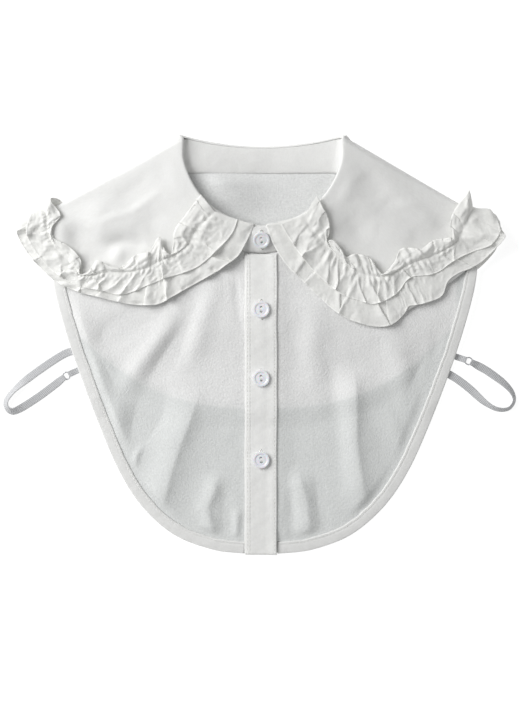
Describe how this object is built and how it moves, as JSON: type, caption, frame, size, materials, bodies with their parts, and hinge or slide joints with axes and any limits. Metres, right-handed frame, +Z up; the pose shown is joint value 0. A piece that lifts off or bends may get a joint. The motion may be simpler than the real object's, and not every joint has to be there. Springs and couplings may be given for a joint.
{
  "type": "detachable blouse collar",
  "caption": "Detachable blouse collar laid flat: buttoned front panels, shorter back, turned-down collar with two gathered frills, bound edges and elastic side straps.",
  "frame": {"origin": "on the table under the middle of the collar's box, as it lies flat", "axes": "+X to the wearer's left, +Y from the hem towards the neck, +Z up from the table"},
  "size_m": [0.4113, 0.3353, 0.0274],
  "materials": {
    "white_cloth": "plain woven white polyester, slightly crisp",
    "sheer_cloth": "thin white crepe that shows what lies under it",
    "elastic": "ribbed elastic tape",
    "button_resin": "polished white resin",
    "ring_coating": "coated wire"
  },
  "bodies": {
    "root": {"back_panel": "sheer_cloth", "front_right": "sheer_cloth", "front_left": "sheer_cloth", "binding_right": "white_cloth", "binding_left": "white_cloth", "placket": "white_cloth", "neckband": "white_cloth", "collar_fall": "white_cloth", "frill_lower": "white_cloth", "frill_upper": "white_cloth", "button_band": "button_resin", "button_1": "button_resin", "button_2": "button_resin", "button_3": "button_resin", "strap_right": "elastic", "strap_left": "elastic", "tab_right": "elastic", "tab_left": "elastic", "ring_right": "ring_coating", "ring_left": "ring_coating"}
  },
  "joints": []
}
